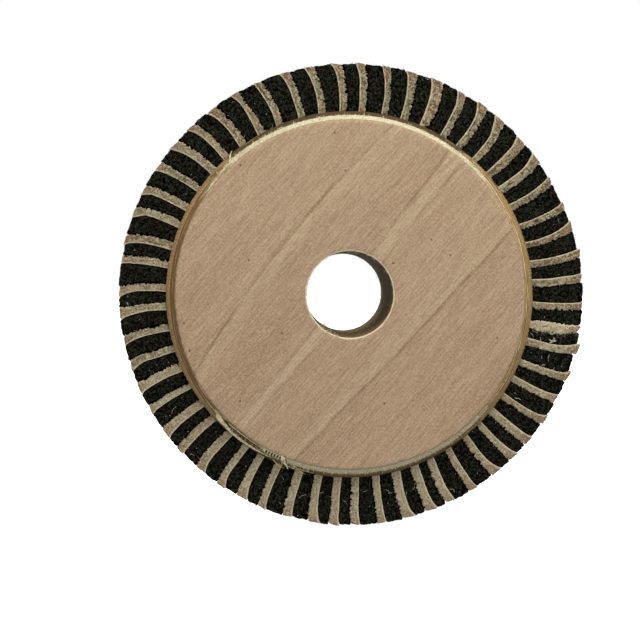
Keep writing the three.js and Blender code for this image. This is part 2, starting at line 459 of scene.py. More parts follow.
def face_veneer_material():
    """Sanded tan veneer with slanting grain: broad bands, growth lines, strokes, pores and pin spots."""
    skin = Surface("plywood_face_veneer")
    radius = skin.radius()
    bands = skin.grain((150, 14, 40), 2.0, 3.1, FACE_AXES)
    strokes = skin.grain((7.0, 0.34, 1.0), 2.0, 1.3, FACE_AXES)
    pores = skin.grain((0.62, 0.46, 1.0), 1.0, 6.2, FACE_AXES)
    flecks = skin.grain((4.5, 0.42, 1.0), 1.0, 9.2, FACE_AXES)
    scratches = skin.grain((30, 0.4, 1.0), 0.0, 4.7, FACE_AXES)
    mottle = skin.grain((12, 3.0, 9), 3.0, 2.2, FACE_AXES)
    skin.colour = skin.blend(bands.ramp(0.34, 0.66), (160, 133, 103), (175, 149, 119))
    skin.coat(mottle.ramp(0.42, 0.72, 0.0, 0.3), (176, 141, 111))
    lay_growth_lines(skin)
    skin.coat(strokes.ramp(0.5, 0.66, 0.0, 0.42), (202, 176, 145))
    skin.coat(strokes.ramp(0.34, 0.5, 0.46, 0.0), (138, 108, 79))
    skin.coat(pores.ramp(0.5, 0.7, 0.0, 0.5), (198, 173, 141))
    skin.coat(pores.ramp(0.3, 0.5, 0.5, 0.0), (140, 112, 82))
    skin.coat(flecks.ramp(0.68, 0.78, 0.0, 0.5), (122, 94, 68))
    skin.coat(scratches.ramp(0.8, 0.86, 0.0, 0.45), (206, 182, 150))
    dot = pin_spots(skin)
    skin.coat(dot, (78, 50, 32))
    ragged = (skin.grain(0.7, 2.0, 5.2) - 0.5) * 0.9
    torn = (radius + ragged).ramp(BORE_RADIUS + 0.25, BORE_RADIUS + 0.5, 0.9, 0.0)
    skin.coat(torn, (226, 213, 176))
    # Darker at the outer edge: partly the glue line's colour, partly painted shade in the gap there.
    edge = radius.ramp(FACE_FLAT_RADIUS - 0.1, FACE_FLAT_RADIUS + 0.25, 0.0, 0.45)
    skin.coat(edge, (150, 120, 82))
    height = strokes + pores * 0.6 - dot * 1.5
    return skin.finish(strokes.ramp(0.2, 0.8, 0.7, 0.85), height, 0.08, shine=0.3)


# Thin lines in the long grain of an upright ply: middle and reach as parts of its thickness, strength
# and colour.
EDGE_LINES = (
    (0.12, 0.12, 0.9, (214, 184, 138)),
    (0.33, 0.12, 0.9, (104, 74, 40)),
    (0.55, 0.14, 1.0, (226, 204, 156)),
    (0.78, 0.13, 0.9, (98, 72, 40)),
    (0.96, 0.12, 0.8, (196, 168, 116)),
)


def lined(skin, brown):
    """An upright ply's brown with its wandering thin lines, and darker towards the left."""
    layer = skin.mark("layer") + (skin.grain(16, 2.0, 3.9) - 0.5) * 1.3
    for middle, reach, strength, tone in EDGE_LINES:
        line = abs(layer - middle).ramp(0.3 * reach, reach, strength, 0.0)
        shown = skin.grain(9, 1.0, 20 * middle).ramp(0.36, 0.56, 0.15, 1.0)
        brown = skin.blend(line * shown, brown, tone)
    return skin.blend(skin.x.ramp(-50, -12, 0.72, 0.0), brown, (104, 74, 42))


def edge_ply_material(name, upright, end_colours, long_colours, glue_colour):
    """A ply whose fibres run along Z if upright, else along X, seen on its cut edge.

    Where the cut crosses the fibres it shows pale end grain. Elsewhere it shows brown long grain, and
    an upright ply has thin pale and dark lines that wander along it."""
    skin = Surface(name)
    radius = skin.radius()
    fibres = skin.grain((0.28, 0.28, 5.0) if upright else (5.0, 0.28, 0.28), 3.0, 2.7)
    bunches = skin.grain((0.9, 0.9, 14.0) if upright else (14.0, 0.9, 0.9), 2.0, 6.1)
    crossing = abs(skin.z if upright else skin.x) / radius
    jitter = skin.grain(4.0, 3.0, 8.3) * 0.3 + skin.grain((7.0, 0.5, 7.0), 2.0, 5.8) * 0.8 - 0.55
    dashes = skin.grain((5.0, 0.4, 5.0), 1.0, 12.3).ramp(0.54, 0.64)
    pale = skin.blend(fibres.ramp(0.32, 0.66), *end_colours)
    pale = skin.blend(dashes * crossing.ramp(0.62, 0.92, 0.85, 0.0), pale, long_colours[0])
    brown = skin.blend(fibres.ramp(0.34, 0.68), *long_colours)
    brown = skin.blend(bunches.ramp(0.45, 0.7, 0.0, 0.5), brown, long_colours[0])
    if upright:
        brown = lined(skin, brown)
    else:
        # Painted shade: the inner ply is darker towards its top, where it lies in shadow.
        brown = skin.blend((skin.z / radius).ramp(0.2, 0.9, 0.0, 0.75), brown, (74, 56, 34))
        # Painted shade: darker at the ply's outer rim, where it meets the strips.
        rim = radius.ramp(CHEEK_RADIUS - 1.5, CHEEK_RADIUS - 0.3, 0.0, 0.75)
        brown = skin.blend(rim, brown, (72, 57, 37))
        pale = skin.blend(rim * 0.45, pale, (104, 88, 63))
    skin.colour = skin.blend((crossing + jitter).ramp(0.58, 0.72), brown, pale)
    skin.coat(bunches.ramp(0.3, 0.42, 0.3, 0.0), (92, 72, 45))
    skin.coat(skin.mark("glue"), glue_colour)
    skin.coat(skin.mark("fresh"), (238, 232, 196))
    # Painted shade: the torn hollows are darkened to near black.
    hollow = skin.mark("hollow")
    bared = skin.blend(hollow.ramp(0.2, 0.5), brown, (34, 22, 11))
    skin.coat(hollow.ramp(0.05, 0.25), bared)
    # Painted shade: the plies at the bore are darker towards the top of the bore wall.
    drilled = skin.blend(skin.z.ramp(-12, 12), (98, 78, 50), (52, 38, 20))
    skin.coat(radius.ramp(BORE_RADIUS + 0.4, BORE_RADIUS + 2.5, 0.72, 0.0), drilled)
    relief = fibres + bunches * 0.8
    return skin.finish(fibres.ramp(0.2, 0.8, 0.8, 0.95), relief, 0.16, shine=0.1)


def core_material():
    """Thick plywood on its drilled wall: thin plies with crossing grain and dark glue lines.

    Painted shade makes the wall darker towards its top."""
    skin = Surface("core_plywood")
    waves = (skin.grain(12, 1.0) - 0.5) * 0.5
    layers = skin.y / CORE_PLY + waves + PLIES_BELOW_MIDDLE
    fine_up = skin.grain((0.3, 0.3, 5.0), 3.0, 4.4)
    fine_level = skin.grain((5.0, 0.3, 0.3), 3.0, 1.9)
    up = skin.blend(fine_up.ramp(0.3, 0.7), (104, 86, 54), (156, 133, 92))
    level = skin.blend(fine_level.ramp(0.3, 0.7), (88, 70, 44), (138, 115, 76))
    skin.colour = skin.blend(layers.calc("FLOOR").calc("MODULO", 2.0), up, level)
    line = abs(layers.calc("FRACT") - 0.5).ramp(0.43, 0.49, 0.0, 0.8)
    skin.coat(line * 0.5, (36, 26, 16))
    # Painted shade: the bore wall is darker towards its top.
    skin.coat(skin.z.ramp(-14, 12, 0.0, 0.62), (40, 28, 14))
    height = fine_up + fine_level - line
    return skin.finish(fine_up.ramp(0.2, 0.8, 0.8, 0.95), height, 0.15, shine=0.1)


def glue_material():
    """Set amber glue with ripples and bubbles."""
    skin = Surface("set_glue")
    ripples = skin.grain(3.0)
    bubbles = node(skin.tree, "TexVoronoi", {"Vector": skin.place, "Scale": 0.7})
    skin.colour = skin.blend(ripples, (120, 92, 45), (170, 140, 85))
    height = ripples + bubbles.outputs["Distance"]
    return skin.finish(ripples.ramp(0.3, 0.7, 0.25, 0.5), height, 0.2)


def leather_streaks(skin, radius):
    """Noise from 0 to 1 in streaks that run out along each leather strip, its own in every strip."""
    parts = {0: radius / 3.2 + skin.y / 6, 1: skin.mark("across") * 1.5, 2: skin.own("tone") * 60}
    return skin.noise(node(skin.tree, "CombineXYZ", parts).outputs[0])


def leather_material():
    """Tan split leather: soft mottled cut end, cream grain side, pale ragged flesh side, browner tip."""
    skin = Surface("split_leather")
    radius = skin.radius()
    mottle = (skin.grain(1.5, 2.0, 3.3) + leather_streaks(skin, radius)) * 0.5
    fine = skin.grain(0.5, 3.0, 6.7)
    patches = skin.grain(4.0, 2.0, 1.1)
    warm = skin.grain(3.0, 2.0, 5.6)
    olive = skin.blend(mottle.ramp(0.4, 0.6), (68, 59, 38), (150, 139, 109))
    rosy = skin.blend(mottle.ramp(0.4, 0.6), (82, 61, 41), (160, 136, 107))
    skin.colour = skin.blend((skin.own("tone") + (patches - 0.5)).ramp(0.3, 1.0), olive, rosy)
    skin.coat(warm.ramp(0.56, 0.7, 0.0, 0.45), (150, 104, 78))
    skin.coat(skin.own("clean") * 0.6, (190, 176, 146))
    worn = radius.ramp(WHEEL_RADIUS - 5.0, WHEEL_RADIUS - 0.8) * mottle.ramp(0.42, 0.58, 0.3, 0.8)
    skin.coat(worn, (126, 94, 70))
    skin.coat(fine.ramp(0.5, 0.7, 0.0, 0.75), (210, 198, 166))
    skin.coat(fine.ramp(0.3, 0.5, 0.7, 0.0), (78, 66, 44))
    side = skin.mark("across") + fine * 0.3
    skin.coat(side.ramp(0.68, 1.06, 0.0, 0.85), (208, 194, 160))
    skin.coat(side.ramp(-0.95, -0.6, 0.6, 0.0), (194, 182, 150))
    height = mottle + fine * 0.8
    return skin.finish(fine.ramp(0.3, 0.8, 0.78, 0.95), height, 0.18, shine=0.1)


def felt_material():
    """Black wool felt: matted fibres, a little brown or green in places, with pale specks."""
    skin = Surface("black_felt")
    clumps = skin.grain((0.9, 0.8, 0.9), 2.0, 2.9)
    fibres = skin.grain((0.4, 0.2, 0.4), 2.0, 4.6)
    tint = skin.grain(3.0, 2.0, 7.4).ramp(0.35, 0.65)
    lint = skin.grain(0.4, 1.0, 9.9)
    dark = skin.blend(tint, (3, 5, 3), (5, 3, 2))
    pale = skin.blend(tint, (46, 50, 39), (49, 44, 36))
    thick = clumps + (fibres - 0.5) * 1.2
    skin.colour = skin.blend(thick.ramp(0.4, 0.7), dark, pale)
    skin.coat(lint.ramp(0.7, 0.78, 0.0, 0.7), (118, 116, 98))
    # Painted shade: the felt is darkened along its sides, where it meets the leather.
    skin.coat(abs(skin.mark("across")).ramp(0.86, 0.97, 0.0, 0.85), (5, 3, 2))
    height = clumps + fibres
    return skin.finish(fibres.ramp(0.2, 0.8, 0.9, 1.0), height, 0.35, shine=0.0)


def fibre_material(name, dark, pale):
    """Loose fibres, each a little different along its length."""
    skin = Surface(name)
    tint = skin.grain(0.8, 2.0, 4.1)
    skin.colour = skin.blend(tint.ramp(0.3, 0.7), dark, pale)
    return skin.finish(tint.ramp(0.3, 0.7, 0.75, 0.95), tint, 0.05, shine=0.05)


def sliver_material():
    """Torn pale wood with streaks along its fibres, greener in places."""
    skin = Surface("torn_pale_wood")
    streaks = skin.grain(0.8, 3.0, 2.4)
    tint = skin.grain(5.0, 1.0, 6.6).ramp(0.4, 0.6)
    pale = skin.blend(tint, (226, 218, 160), (246, 232, 202))
    dark = skin.blend(tint, (170, 160, 100), (182, 160, 118))
    skin.colour = skin.blend(streaks.ramp(0.32, 0.58), dark, pale)
    return skin.finish(streaks.ramp(0.3, 0.7, 0.8, 0.95), streaks, 0.15, shine=0.1)


FLOOR_GLOW = 0.95


def floor_material():
    """Plain pale paper, which glows a little so that it stays white to its far edge."""
    skin = Surface("pale_paper")
    tint = skin.grain(60, 2.0)
    skin.colour = skin.blend(tint, (250, 250, 250), (253, 253, 253))
    return skin.finish(tint.ramp(0.0, 1.0, 0.9, 0.95), tint, 0.02, glow=FLOOR_GLOW)


# ---- The hub ----

RING_STEPS = 2200
BOARD_STEPS = 900
BEVEL_STEP = 0.22
LOOSE_REACH = 0.3
BORE_EDGE = 0.34
FACE_RADII = (BORE_RADIUS + 0.16, BORE_RADIUS + BORE_EDGE, 15.5, 22, 34, 46, 53, 55, 55.6, 55.9)
GROOVE_WIDTH = 0.14
DEEPEST_RELIEF = 0.95
BEVEL_LEAN = math.sqrt(0.5)
EDGE = 0.01


def bevel_radius(depth):
    """The cheek's outer radius at a depth below its face."""
    return FACE_FLAT_RADIUS + min(depth, BEVEL_DEPTH)


def stretch_of_rim(start, end):
    """(radius, depth) points down the cheek's rim between two depths, bend included."""
    bends = [start, *([BEVEL_DEPTH] if start < BEVEL_DEPTH < end else []), end]
    places = []
    for high, low in zip(bends, bends[1:]):
        count = max(2, round((low - high) / BEVEL_LEAN / BEVEL_STEP))
        places += list(np.linspace(high, low, count, endpoint=False))
    return np.array([(bevel_radius(d), d) for d in [*places, end]])


def ply_points(depths, side, face_radii=()):
    """A ply's mesh, with each point's angle, depth and radius. side is -1 in front, 1 at the back.

    Its outline is its rim, its inner side, the bore, and its outer side with stations at face_radii."""
    start, end = depths
    bore = [(BORE_RADIUS, d) for d in np.linspace(end, start, 5)]
    outline = np.array([*stretch_of_rim(start, end), *bore, *((r, start) for r in face_radii)])
    radius, depth = (outline if side < 0 else outline[::-1]).T
    points, faces, angle = revolve(np.stack([radius, side * (HALF_WIDTH - depth)], axis=1), RING_STEPS)
    return points, faces, angle, HALF_WIDTH - np.abs(points[:, 1]), np.hypot(points[:, 0], points[:, 2])


def push(points, angle, outward, inward_depth, side):
    """Moves points away from the axis by outward mm, and into the wheel by inward_depth mm."""
    return points + around_axis(outward, -side * inward_depth, angle)


def bump_at(angle, centre_degrees, half_width):
    """1 at a centre angle, falling smoothly to 0 at half_width degrees from it."""
    gap = np.degrees(angle) - centre_degrees
    part = np.clip(1 - np.abs((gap + 180) % 360 - 180) / half_width, 0, 1)
    return part * part * (3 - 2 * part)


def make_face_veneer(name, side, material):
    """The face veneer, with a worn, slightly chipped outer edge and a torn bore edge."""
    points, faces, angle, depth, radius = ply_points(FACE_DEPTHS, side, FACE_RADII)
    rim_band = np.clip((radius - (FACE_FLAT_RADIUS - 0.5)) / 0.5, 0, 1)
    bore_band = np.clip(1 - (radius - BORE_RADIUS) / BORE_EDGE, 0, 1) * np.clip(1 - depth / 0.4, 0, 1)
    chips = np.clip(rough(points, 1.1, 2, 11) - 0.45, 0, 1)
    outward = rim_band * (-0.1 * rough(points, 0.5, 2, 5) - 0.05 - 0.5 * chips)
    worn = rim_band * (0.1 + 0.08 * noise(points, 0.7, 8)) * (depth < 0.02)
    torn = bore_band * (0.2 + 0.14 * rough(points, 0.6, 2, 21))
    points = push(points, angle, outward, worn + torn, side)
    piece = make_piece(name, points, faces, material, "plywood_face")
    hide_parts(name)


PATCH_CENTRE = 248.0
COMB_CENTRE = 244.8
COMB_PITCH = 0.98
TORN_CENTRE = 232.0


def bevel_damage(angle, layer, grooves):
    """How torn out the front bevel's damaged ply is, and how freshly bared, both from 0 to 1."""
    comb = np.clip(1.8 * np.cos(np.degrees(angle) * 2 * math.pi / COMB_PITCH) + 0.2, 0, 1)
    fresh = bump_at(angle, COMB_CENTRE, 3.6) ** 0.3 * np.exp(-((layer - 0.55) / 0.45) ** 4)
    notched = bump_at(angle, COMB_CENTRE, 3.2) ** 0.2 * comb * np.exp(-((layer - 0.6) / 0.3) ** 4)
    torn = np.clip(1.6 * bump_at(angle, TORN_CENTRE, 11), 0, 1) * np.clip(5 * layer, 0, 1)
    hollow = np.clip(notched + torn * (0.25 + 0.75 * layer**2 + 0.12 * grooves), 0, 1)
    return hollow, fresh


def make_edge_ply(name, side, depths, upright, material, damaged):
    """A ply of the bevel, with its fibres standing in relief and a groove at each glue line."""
    start, end = depths
    points, faces, angle, depth, radius = ply_points(depths, side)
    layer = (depth - start) / (end - start)
    crossing = np.abs(np.sin(angle) if upright else np.cos(angle))
    ended = np.clip((crossing - 0.55) / 0.25, 0, 1)
    grooves = rough(points, (0.35, 0.35, 4.0) if upright else (4.0, 0.35, 0.35), 2, 31)
    whiskers = noise(points, (0.45, 0.9, 0.45), 37)
    to_glue = depth - start if upright else np.minimum(depth - start, end - depth)
    groove = np.exp(-((np.maximum(to_glue, 0) / GROOVE_WIDTH) ** 2)) * (0.3 if upright else 1.0)
    hollow, fresh = bevel_damage(angle, layer, grooves) if damaged else np.zeros((2, len(points)))
    relief = -0.07 + 0.09 * grooves + ended * 0.08 * whiskers - 0.13 * groove - 0.75 * hollow
    relief = np.clip(relief, -DEEPEST_RELIEF, 0.05) * (radius > bevel_radius(start) - EDGE)
    sloped = depth < BEVEL_DEPTH + EDGE
    lean = np.where(sloped, BEVEL_LEAN, 1.0)
    inward_depth = np.where(sloped & (depth > start + EDGE) & (depth < end - EDGE), -relief * lean, 0)
    drilled = (radius < BORE_RADIUS + EDGE) * 0.06 * (1 + rough(points, (0.8, 0.3, 0.8), 2, 41))
    points = push(points, angle, relief * lean + drilled, inward_depth, side)
    marks = {"glue": np.clip(groove * 0.85, 0, 1), "layer": layer, "hollow": hollow, "fresh": fresh}
    piece = make_piece(name, points, faces, material, "plywood_cross" if upright else "plywood_inner", marks)
    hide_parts(name)


def make_core_board(name, material):
    """A board of the core, with the marks of the drill on its bore wall."""
    low, high = depth_mm(name)
    wall = [(BORE_RADIUS, y) for y in np.linspace(high, low, 44)]
    outside = [(CORE_RADIUS, y) for y in np.linspace(low, high, 3)]
    points, faces, angle = revolve(np.array([*outside, *wall]), BOARD_STEPS)
    radius = np.hypot(points[:, 0], points[:, 2])
    drilled = rough(points, (1.2, 0.4, 1.2), 2, 51)
    layers = np.cos(points[:, 1] * 2 * math.pi / CORE_PLY)
    wear = (radius < BORE_RADIUS + 1) * (0.08 + 0.05 * drilled - 0.03 * layers)
    piece = make_piece(name, push(points, angle, wear, 0, 1), faces, material, "core_wood")
    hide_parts(name)


def held_back(points):
    """Points kept from standing out past the faces by more than a loose fibre may."""
    reach = HALF_WIDTH + LOOSE_REACH
    return np.column_stack([points[:, 0], np.clip(points[:, 1], -reach, reach), points[:, 2]])


def make_bevel_splinters(name, side, material, spans, amount, lengths, seed):
    """Loose fibres on a cheek's bevel. spans are (centre, half width) in degrees."""
    random = np.random.default_rng(seed)
    centre, half = np.array(spans)[random.integers(0, len(spans), amount)].T
    angle = np.radians(centre + half * random.uniform(-1, 1, amount))
    depth = random.uniform(CROSS_DEPTHS[1] - 0.7, CROSS_DEPTHS[1] + 0.1, amount)
    radial = around_axis(1, 0, angle)
    start = around_axis(FACE_FLAT_RADIUS + depth - 0.02, side * (HALF_WIDTH - depth - 0.02), angle)
    outward = np.array([0, side, 0])
    upright = np.array([0, 0, 1])
    grown = upright * np.sign(radial[:, 2:]) + 0.5 * radial - 0.55 * outward
    grown = unit(grown + 0.35 * random.normal(size=(amount, 3)))
    length = random.uniform(*lengths, amount)
    width = random.uniform(0.06, 0.13, amount)
    bend = (0.25 * random.normal(size=(amount, 3)) - 0.1 * outward) * length[:, None]
    points, faces = needles(start, grown, length, width, bend)
    make_piece(name, held_back(points), faces, material, "plywood_cross", smooth=False)


# Long torn fibres and slivers on the front bevel. Each runs through three places, (angle in degrees,
# radius), and has a half width and a lift off the bevel in mm.
TORN_PIECES = (
    ((247.0, 56.4), (248.4, 57.9), (250.6, 60.2), 0.55, 0.9),
    ((132.1, 57.9), (130.6, 59.9), (129.3, 60.3), 0.24, 0.6),
    ((222.0, 57.9), (225.2, 58.6), (229.0, 58.7), 0.85, 0.3),
    ((226.0, 58.9), (235.0, 59.2), (244.5, 58.7), 0.45, 0.25),
    ((226.5, 57.2), (233.0, 56.9), (240.5, 57.2), 0.2, 0.05),
    ((248.0, 58.6), (251.0, 59.8), (254.5, 59.5), 0.16, 0.4),
    ((251.0, 58.7), (254.5, 59.4), (258.5, 59.2), 0.12, 0.3),
    ((245.0, 59.2), (247.0, 60.2), (249.5, 60.6), 0.14, 0.3),
    ((252.5, 58.4), (254.0, 60.1), (256.5, 60.4), 0.1, 0.3),
)


def make_torn_pieces(material):
    """Flat tapering slivers and fibres along curves on the front bevel, joined in one piece."""
    flat, faces = box_skin(np.linspace(0, 1, 40), np.linspace(-1, 1, 7), np.linspace(-1, 1, 3))
    part, across, thick = flat.T
    meshes = []
    for *places, half_width, lift in TORN_PIECES:
        weights = np.stack([(1 - part) ** 2, 2 * part * (1 - part), part**2], axis=1)
        degrees, radius = (weights @ np.array(places)).T
        spot = np.stack([25 * part, 3 * across, np.full_like(part, places[0][0])], axis=1)
        taper = np.sqrt(np.clip(part * 6 + 0.05, 0, 1) * np.clip(1.03 - part, 0, 1) * 1.3)
        reach = half_width * taper * (1 + 0.25 * noise(spot, (1.6, 9.0, 1.0), 95))
        turned = math.radians(places[2][0] - places[0][0]) * radius.mean()
        climbed = places[2][1] - places[0][1]
        run = math.hypot(turned, climbed)
        angle = np.radians(degrees) - across * reach * climbed / run / radius
        radius = radius + across * reach * turned / run
        depth = np.clip(radius - FACE_FLAT_RADIUS, 0, BEVEL_DEPTH) - lift * np.sin(math.pi * part / 1.4)
        depth = depth - 0.12 * thick - 0.06 * rough(spot, (3.0, 0.8, 1.0), 2, 97)
        meshes.append((held_back(around_axis(radius, depth - HALF_WIDTH, angle)), faces))
    make_piece("torn_slivers", *joined(meshes), material, "plywood_cross")


def make_bore_splinters(name, side, material, amount, seed):
    """Torn fibres that lean over the bore's edge on a face."""
    random = np.random.default_rng(seed)
    angle = random.uniform(0, 2 * math.pi, amount)
    tufted = random.random(amount) < 0.3
    angle = np.where(tufted, math.radians(240) + 0.12 * random.normal(size=amount), angle)
    radial = around_axis(1, 0, angle)
    start = around_axis(BORE_RADIUS + 0.25, side * (HALF_WIDTH - 0.2), angle)
    along = np.array(ALONG_GRAIN) * np.sign(-radial @ np.array(ALONG_GRAIN))[:, None]
    grown = along + 0.3 * np.array([0, side, 0]) - 0.2 * radial
    grown = unit(grown + 0.3 * random.normal(size=(amount, 3)))
    length = random.uniform(0.4, 1.1, amount) * np.where(tufted, 1.4, 1.0)
    bend = 0.3 * random.normal(size=(amount, 3)) * length[:, None]
    points, faces = needles(start, grown, length, random.uniform(0.05, 0.1, amount), bend)
    make_piece(name, held_back(points), faces, material, "plywood_face", smooth=False)


# ---- The strips ----

LEATHER_THICKNESS = 2.4
LEATHER_BOW = 1.2
CURL_MEAN = 0.7
CURL_SWING = 0.95
CURL_SIDE = math.radians(100)
CURL_POWER = 2.0
LEATHER_FLARE = 1.1
PITCH_SCATTER = 0.08
START_ANGLE = math.radians(-0.87)
SPACING_DRIFT = math.radians(2.7)
DRIFT_SIDE = math.radians(223)
TOUCHING_GAP = 0.04
LOOSE_DEPTH = 2.5
WIDE_STRIPS = (7, 8, 11)
WIDENING = 0.4
# Strips with a knee: the part of the way out where they bend, and how far their tips go over, in mm.
KNEES = {7: (0.75, 1.2), 8: (0.6, 2.3), 10: (0.7, 1.2), 13: (0.65, 1.0), 24: (0.78, 1.3), 25: (0.72, 1.8)}
TAPERED_STRIP = 19
TOP_SLIMMING = 0.05
SIDE_SLIMMING = 0.07
CLEAN_SIDE = math.radians(258)
LONG_SIDE = math.radians(-5)
LONG_TIP = 1.1
TIP_DRIFT = 0.25
# Keeps the noise of one strip clear of the next one's.
NOISE_STEP = 40.0


def strip_angle(index):
    """The angle of a leather strip's root. Strip 57 is strip 0 a full turn on."""
    turn = index % STRIP_COUNT
    drift = SPACING_DRIFT * math.cos(turn * PITCH - DRIFT_SIDE)
    uneven = PITCH_SCATTER * scatter(turn, 1)
    return START_ANGLE + (turn + uneven) * PITCH + drift + (index // STRIP_COUNT) * 2 * math.pi


def outness(radius):
    """How far out along a strip's free part: 0 at the cheek's rim, 1 at the tip."""
    return np.clip((radius - CHEEK_RADIUS) / (WHEEL_RADIUS - CHEEK_RADIUS), 0, 1.05)


def looseness(y):
    """How ragged and loose the strips' sides are: 1 at the cut ends, 0 a little way inside."""
    return np.clip((np.abs(y) - HALF_STRIP + LOOSE_DEPTH) / LOOSE_DEPTH, 0, 1)


def strip_spot(first, second, place):
    """Places for noise on a strip. place is how far along the third axis the strip has its own noise."""
    return np.stack([first, second, np.full_like(first, place)], axis=1)


def leather_thickness(turn, out):
    """How thick a leather strip is at each outness."""
    slimmed = 1 - TOP_SLIMMING * (1 + math.sin(turn * PITCH)) - SIDE_SLIMMING * abs(math.cos(turn * PITCH))
    thickness = LEATHER_THICKNESS * slimmed * (1 + 0.2 * scatter(turn, 4))
    if turn in WIDE_STRIPS:
        return thickness * (1 + WIDENING * np.clip(3 * out, 0, 1))
    if turn == RAGGED_STRIP:
        return thickness * (1 + 0.75 * np.sin(math.pi * np.clip(1.1 * out, 0, 1)) - 0.3 * out**4)
    if turn == TAPERED_STRIP:
        return thickness * (1 - 0.45 * np.clip(1.6 * out, 0, 1))
    return thickness


def leather_side(index, side, radius, y, jag):
    """The angle of a leather strip's side. jag is how ragged the cut is, in mm."""
    turn = index % STRIP_COUNT
    out = outness(radius)
    spot = strip_spot(radius, y, NOISE_STEP * turn)
    bow = -LEATHER_BOW * (1 + 0.5 * scatter(turn, 2)) * out * (1 - out)
    reach = CURL_MEAN + CURL_SWING * math.cos(turn * PITCH - CURL_SIDE) + 0.45 * scatter(turn, 3)
    curl = reach * out ** (CURL_POWER + 0.7 * scatter(turn, 14))
    wave = (0.3 + 0.3 * max(0, scatter(turn, 16))) * noise(spot, (5.0, 9.0, 1.0), 61) * out
    offset = side * leather_thickness(turn, out) / 2 + bow + curl + wave
    flare = LEATHER_FLARE * (1 + 0.8 * scatter(turn, 5))
    if turn in KNEES:
        knee, over = KNEES[turn]
        over *= 1 if side > 0 else 0.4
        offset = offset + over * np.clip((out - knee) / (1 - knee), 0, 1.1)
        flare = 0.3 * LEATHER_FLARE
    if side > 0:
        offset = offset + flare * out ** (6 + 2.5 * scatter(turn, 6))
    seed = 67 if side > 0 else 71
    teeth = 1 - 2.4 * np.abs(noise(spot, (0.55, 1.3, 1.0), seed)) + 0.4 * noise(spot, (0.3, 0.8, 1.0), seed)
    return strip_angle(index) + (offset + side * jag * looseness(y) * teeth) / radius


def leather_jag(index, side):
    """How ragged a leather strip's side is, in mm. The clockwise side is the torn flesh side."""
    turn = index % STRIP_COUNT
    if turn == RAGGED_STRIP:
        return 0.6
    if turn == TOOTHED_STRIP:
        return 0.4
    return 0.06 if side > 0 else 0.52 + 0.2 * scatter(turn, 15)


def strip_edges(kind, index, radius, y):
    """The clockwise and anticlockwise angles of a strip at each radius and y."""
    if kind == "leather":
        return tuple(leather_side(index, s, radius, y, leather_jag(index, s)) for s in (-1, 1))
    edges = []
    for leather, side in ((index, 1), (index + 1, -1)):
        gap = TOUCHING_GAP + 1.2 * leather_jag(leather, side) * looseness(y)
        edges.append(leather_side(leather, side, radius, y, 0.0) + side * gap / radius)
    return edges


def tip_radius(kind, index, across, y):
    """How far out a strip's tip reaches, by place across it and along the spin axis."""
    spot = strip_spot(2.4 * across, y, NOISE_STEP * index)
    longer = LONG_TIP * max(0, math.cos(index * PITCH - LONG_SIDE)) ** 12
    drift = TIP_DRIFT * math.cos(index * PITCH - LONG_SIDE)
    if kind == "leather":
        base = WHEEL_RADIUS - 0.4 + drift + longer + (0.2 + 0.4 * longer) * scatter(index, 7)
        tilt = 0.14 + 0.15 * longer + 0.2 * scatter(index, 13)
        return base + tilt * across - 0.1 * across**6 + 0.14 * rough(spot, (0.9, 1.6, 1.0), 3, 81)
    base = WHEEL_RADIUS - 0.45 + drift + 0.7 * longer + 0.15 * scatter(index, 8)
    return base + 0.17 * rough(spot, (1.0, 1.5, 1.0), 3, 83)


def end_place(kind, index, radius, across, ahead):
    """How far from the middle plane a strip's cut end lies. ahead is -1 in front, 1 behind."""
    spot = strip_spot(radius, 2.2 * across, NOISE_STEP * index + 9 * ahead)
    base = HALF_STRIP - 0.32 + 0.26 * scatter(index, 9 if ahead < 0 else 10)
    if kind == "leather":
        relief = 0.09 * rough(spot, (0.8, 0.8, 1.0), 2, 91)
    else:
        relief = 0.15 * rough(spot, (0.9, 0.8, 1.0), 3, 93) - 0.1
    return np.minimum(base + relief, HALF_STRIP - 0.02)


def lay_strip(kind, index, flat):
    """Points of a straight strip (part out 0 to 1, across -1 to 1, width -1 to 1) laid on the wheel."""
    part, across, wide = flat.T
    tip = tip_radius(kind, index, across, wide * HALF_STRIP)
    radius = STRIP_ROOT + (tip - STRIP_ROOT) * part
    front, back = (end_place(kind, index, radius, across, ahead) for ahead in (-1, 1))
    y = wide * np.where(wide < 0, front, back)
    clockwise, anticlockwise = strip_edges(kind, index, radius, y)
    return around_axis(radius, y, clockwise + (anticlockwise - clockwise) * (across + 1) / 2)


FREE_START = (CHEEK_RADIUS - 1.2 - STRIP_ROOT) / (WHEEL_RADIUS - STRIP_ROOT)
# How many stations a strip has along its free part, across it and along its width.
STATIONS = {"leather": (104, 12, 36), "felt": (80, 24, 38)}
# A straight strip's length, half its thickness and the radius of its edges, in mm.
STRAIGHT_SIZES = {"leather": (30.2, 1.35, 0.12), "felt": (30.2, 2.6, 0.25)}
# The rounding box reaches this far past a strip's root, so the root stays square.
ROOT_END = -5.0


def strip_flat_points(kind):
    """The straight strip's skin, with rounded edges, as (part out, across, width) and its quads.

    Its stations are close together where it is free, and at its edges."""
    free_count, across_count, wide_count = STATIONS[kind]
    length, half_thickness, radius = STRAIGHT_SIZES[kind]
    hidden = np.linspace(0, FREE_START, 4, endpoint=False)
    along = np.concatenate([hidden, np.linspace(FREE_START, 1, free_count)])
    points, faces = box_skin(along, eased(across_count), eased(wide_count))
    high = np.array([length, half_thickness, HALF_STRIP])
    low = np.array([ROOT_END, -half_thickness, -HALF_STRIP])
    return rounded(points * high, low, high, radius) / high, faces


